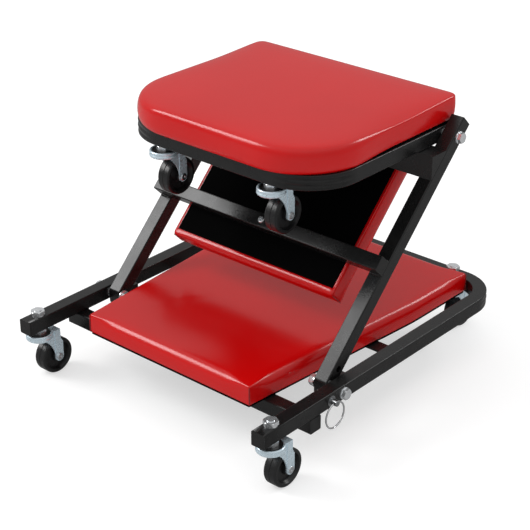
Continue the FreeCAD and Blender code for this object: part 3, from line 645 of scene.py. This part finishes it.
def u_path(closed_x, open_x, half_width, bend):
    """(point, outward normal, crease amount) along a flat U, from one open end to the other."""
    toward = 1.0 if open_x > closed_x else -1.0
    turn_x = closed_x + toward * bend
    stations = []
    for t in np.linspace(0, 1, STRAIGHT_COUNT, endpoint=False):
        stations.append(((open_x + (turn_x - open_x) * t, -half_width), (0.0, -1.0), 0.0))
    arc = int(bend * math.pi / 2 / BEND_STEP)
    for k in range(arc + 1):
        t = k / arc
        a = math.pi / 2 * t
        normal = (-toward * math.sin(a), -math.cos(a))
        centre = (turn_x, -half_width + bend)
        point = (centre[0] + normal[0] * bend, centre[1] + normal[1] * bend)
        stations.append((point, normal, smoothstep(min(t, 1 - t) / CREASE_EASE)))
    across = [
        ((closed_x, y), (-toward, 0.0), 0.0)
        for y in np.linspace(-half_width + bend, half_width - bend, STRAIGHT_COUNT)[1:-1]
    ]
    other = [((x, -y), (nx, -ny), a) for (x, y), (nx, ny), a in reversed(stations)]
    return stations + across + other


def crease(z, amount, depth):
    """Inward move of a bend's outer wall: two long furrows with a ridge between them."""

    def dent(at, width):
        return math.exp(-(((z - at) / width) ** 2))

    furrows = dent(0.0040, 0.0018) + dent(-0.0036, 0.0018)
    return depth * amount * (furrows - 0.25 * dent(0.0002, 0.0016))


def section(amount, depth):
    """(outward offset, height) pairs round the tube, from the outer wall's foot."""
    pairs = [(HALF - crease(z, amount, depth), z) for z in CREASED_WALL]

    def corner(sn, sz, a0):
        for k in (1, 2, 3):
            a = a0 + k * math.pi / 8
            pairs.append((sn * WALL + CORNER_R * math.cos(a), sz * WALL + CORNER_R * math.sin(a)))

    corner(1, 1, 0)
    pairs += [(n, HALF) for n in reversed(PLAIN_WALL)]
    corner(-1, 1, math.pi / 2)
    pairs += [(-HALF, z) for z in reversed(PLAIN_WALL)]
    corner(-1, -1, math.pi)
    pairs += [(n, -HALF) for n in PLAIN_WALL]
    corner(1, -1, 3 * math.pi / 2)
    return pairs


def bent_tube(name, node, body, closed_at_high_x, bend, depth):
    """Square tube bent to a U in the node's box, its bends creased on the outside."""
    low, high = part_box(node)
    z0 = (low.z + high.z) / 2
    if closed_at_high_x:
        closed_x, open_x = high.x - HALF, low.x
    else:
        closed_x, open_x = low.x + HALF, high.x
    rings = []
    for (x, y), (nx, ny), amount in u_path(closed_x, open_x, high.y - HALF, bend):
        rings.append([(x + nx * n, y + ny * n, z0 + z) for n, z in section(amount, depth)])
    obj = make_object(name, *loft(rings), STEEL, body)
    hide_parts(node)
    return obj


bent_tube("seat_tube_creased", "seat_frame_tube", "seat", False, 0.065, 0.0013)
bent_tube("base_tube_creased", "base_frame_tube", "base", True, 0.050, 0.0014)


# ------------------------------------------------------------------ caster race rims
# (radius, height) round the lip of a caster's two races, from the swivel's origin, in mm
RACE = [
    (15.0, -7.2), (15.4, -6.4), (16.4, -5.9), (17.5, -6.1), (18.2, -6.9), (18.4, -7.9),
    (18.0, -8.8), (17.5, -9.4), (17.6, -10.1), (18.3, -11.0), (18.6, -12.2), (18.3, -13.5),
    (17.4, -14.5), (16.0, -14.9), (14.8, -14.4), (14.4, -12.0),
]
TURNS = 56
swivels = {j["child"]: j for j in frame["joints"] if j["name"].endswith("_swivel")}
for caster, joint in swivels.items():
    x0, y0, z0 = joint["pos_m"]
    rings = []
    for k in range(TURNS):
        a = 2 * math.pi * k / TURNS
        rings.append(
            [(x0 + r * MM * math.cos(a), y0 + r * MM * math.sin(a), z0 + z * MM) for r, z in RACE]
        )
    verts, faces = loft(rings, False, False)
    count = len(RACE)
    last = (TURNS - 1) * count
    faces += [(last + i, last + (i + 1) % count, (i + 1) % count, i) for i in range(count)]
    make_object(caster + "_race_rim", verts, faces, "zinc_fork", caster)


# ------------------------------------------------------------------ weld beads and pad seams
def bead(start, end, radius, ripple=0.22, pitch=0.0032, step=0.0008):
    """Wavy round bar between two points."""
    start, end = Vector(start), Vector(end)
    along = (end - start).normalized()
    side = along.orthogonal().normalized()
    across = along.cross(side)
    length = (end - start).length
    count = max(4, int(length / step))
    rings = []
    for k in range(count + 1):
        t = k / count
        wave = 1 + ripple * math.sin(2 * math.pi * t * length / pitch + 2.1 * math.sin(9 * t))
        ends = math.sqrt(max(0.05, 1 - abs(2 * t - 1) ** 8))
        r = radius * wave * ends
        at = start + (end - start) * t
        rings.append(
            [
                at + side * (r * math.cos(a)) + across * (r * math.sin(a))
                for a in np.linspace(0, 2 * math.pi, 12, endpoint=False)
            ]
        )
    return loft(rings)


WELD_R = 0.0019
WELD_OUT = 0.0004            # the bead's middle outside the edge that it follows
ARM_BAR_AT = 0.1613          # the arms' crossbar, along the arms from the base pivots
ARM_WELD_Y = (0.1735, 0.1915)
BASE_WELD_Y = (0.1955, 0.2125)
arm_beads = []
for sign in (-1, 1):
    for edge, out in ((ARM_BAR_AT - HALF, -WELD_OUT), (ARM_BAR_AT + HALF, WELD_OUT)):
        ends = [on_arm @ Vector((edge + out, sign * y, HALF + WELD_OUT)) for y in ARM_WELD_Y]
        arm_beads.append(bead(*ends, WELD_R))
gather("arm_crossbar_welds", arm_beads, "weld", "arms")
base_beads = []
for node in ("base_crossbar_front", "base_crossbar_rear"):
    low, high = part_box(node)
    for sign in (-1, 1):
        for x in (low.x - WELD_OUT, high.x + WELD_OUT):
            ends = [(x, sign * y, high.z - WELD_OUT) for y in BASE_WELD_Y]
            base_beads.append(bead(*ends, WELD_R))
gather("base_crossbar_welds", base_beads, "weld", "base")

SEAM_R = 0.00065
SEAM_INSET = 0.0007


def corner_seam(x, y, z0, z1, place=None):
    """Stitched seam that stands up a pad's corner."""
    verts, faces = bead((x, y, z0), (x, y, z1), SEAM_R, ripple=0.10, pitch=0.0026, step=0.0007)
    if place is not None:
        verts = [place @ v for v in verts]
    return verts, faces


base_seams = [
    corner_seam(base_corners[k][0], base_corners[k][1], base_low.z + 0.0036, base_low.z + 0.0290)
    for k in SEAMED
]
gather("base_pad_seams", base_seams, "seam", "base")
middle_seams = [
    corner_seam(x, y, 0.0020, 0.0270, under)
    for x in (MIDDLE_ENDS[0] + SEAM_INSET, MIDDLE_ENDS[1] - SEAM_INSET)
    for y in (-MIDDLE_HALF + SEAM_INSET, MIDDLE_HALF - SEAM_INSET)
]
gather("middle_pad_seams", middle_seams, "seam", "arms")

# ------------------------------------------------------------------ camera
CAMERA_AT = Vector((-1.3602, -1.1643, 1.0433))
AZIMUTH = math.radians(-48.955)
ELEVATION = math.radians(26.741)
SENSOR = 36.0
FRAME_WIDTH = 530
FOCAL_LENGTH = 1488.67    # on a frame of that width
back = Vector(
    (
        math.sin(AZIMUTH) * math.cos(ELEVATION),
        -math.cos(AZIMUTH) * math.cos(ELEVATION),
        math.sin(ELEVATION),
    )
)
right = Vector((math.cos(AZIMUTH), math.sin(AZIMUTH), 0))
up = back.cross(right)
camera_data = bpy.data.cameras.new("camera")
camera_data.sensor_width = SENSOR
camera_data.lens = FOCAL_LENGTH / FRAME_WIDTH * SENSOR
camera = bpy.data.objects.new("camera", camera_data)
scene.collection.objects.link(camera)
turned = Matrix((right, up, back)).transposed().to_4x4()
camera.matrix_world = Matrix.Translation(CAMERA_AT) @ turned
scene.camera = camera


# ------------------------------------------------------------------ studio
FLOOR_HALF = 9.0
FLOOR_GLOW = 0.55     # a lit sweep table, so the shadows stay pale
FLOOR_GLOSS = 0.05    # and how brightly it glows in gloss
FLOOR_DIM = 0.5       # and what is left of its colour there
SKY = 1.05            # the tent round the object
SKY_GLOSS = 0.74      # and how bright it stands in gloss
SKY_GREY = [(0.0, (0.42,) * 3), (0.35, (0.55,) * 3), (0.8, (1.0,) * 3)]


def stage_floor():
    """Pale table, dimmer in the object's gloss than in plain view."""
    mesh = bpy.data.meshes.new("studio_floor")
    size = FLOOR_HALF
    mesh.from_pydata(
        [(-size, -size, 0), (size, -size, 0), (size, size, 0), (-size, size, 0)],
        [],
        [(0, 1, 2, 3)],
    )
    floor = bpy.data.objects.new("studio_floor", mesh)
    scene.collection.objects.link(floor)
    mat, tree, shader, at = new_material("studio_floor")
    pale = noise(tree, at, 1.5, 2, 0.5)
    colour = ramp(tree, pale, [(0.3, (0.50, 0.50, 0.50)), (0.7, (0.52, 0.52, 0.52))])
    path = tree.nodes.new("ShaderNodeLightPath")
    dim = tree.nodes.new("ShaderNodeVectorMath")
    dim.operation = "SCALE"
    tree.links.new(colour, dim.inputs[0])
    tree.links.new(
        to_range(tree, path.outputs["Is Glossy Ray"], 1.0, FLOOR_DIM, 0, 1), dim.inputs["Scale"]
    )
    tree.links.new(dim.outputs[0], shader.inputs["Base Color"])
    shader.inputs["Emission Color"].default_value = (1, 1, 1, 1)
    tree.links.new(
        to_range(tree, path.outputs["Is Glossy Ray"], FLOOR_GLOW, FLOOR_GLOSS, 0, 1),
        shader.inputs["Emission Strength"],
    )
    shader.inputs["Roughness"].default_value = 0.9
    shader.inputs["Specular IOR Level"].default_value = 0.1
    mesh.materials.append(mat)


def area_light(name, at, aim, size, power):
    data = bpy.data.lights.new(name, "AREA")
    data.shape = "RECTANGLE"
    data.size = size[0]
    data.size_y = size[1]
    data.energy = power
    light = bpy.data.objects.new(name, data)
    scene.collection.objects.link(light)
    direction = Vector(aim) - Vector(at)
    light.rotation_euler = direction.to_track_quat("-Z", "Y").to_euler()
    light.location = at


def studio_world():
    """White tent: plain white in view, darker low down as light on the object."""
    world = bpy.data.worlds.new("studio")
    world.use_nodes = True
    tree = world.node_tree
    background = tree.nodes["Background"]
    toward = tree.nodes.new("ShaderNodeTexCoord")
    split = tree.nodes.new("ShaderNodeSeparateXYZ")
    tree.links.new(toward.outputs["Generated"], split.inputs[0])
    path = tree.nodes.new("ShaderNodeLightPath")
    backdrop = tree.nodes.new("ShaderNodeMixRGB")
    backdrop.inputs["Color2"].default_value = (1, 1, 1, 1)
    tree.links.new(path.outputs["Is Camera Ray"], backdrop.inputs["Fac"])
    tree.links.new(ramp(tree, split.outputs["Z"], SKY_GREY), backdrop.inputs["Color1"])
    tree.links.new(backdrop.outputs["Color"], background.inputs["Color"])
    strength = to_range(tree, path.outputs["Is Glossy Ray"], SKY, SKY_GLOSS, 0, 1)
    tree.links.new(strength, background.inputs["Strength"])
    scene.world = world


stage_floor()
studio_world()
middle = Vector((0, 0, 0.15))
flat_back = Vector((back.x, back.y, 0)).normalized()
key_at = middle - right * 2.3 - flat_back * 0.2 + Vector((0, 0, 1.75))
area_light("key", key_at, middle, (1.1, 1.5), 40)
rim_at = middle + right * 2.0 - flat_back * 0.85 + Vector((0, 0, 1.6))
area_light("rim", rim_at, middle, (0.45, 1.0), 12)
scene.view_settings.view_transform = "Standard"
scene.view_settings.look = "None"
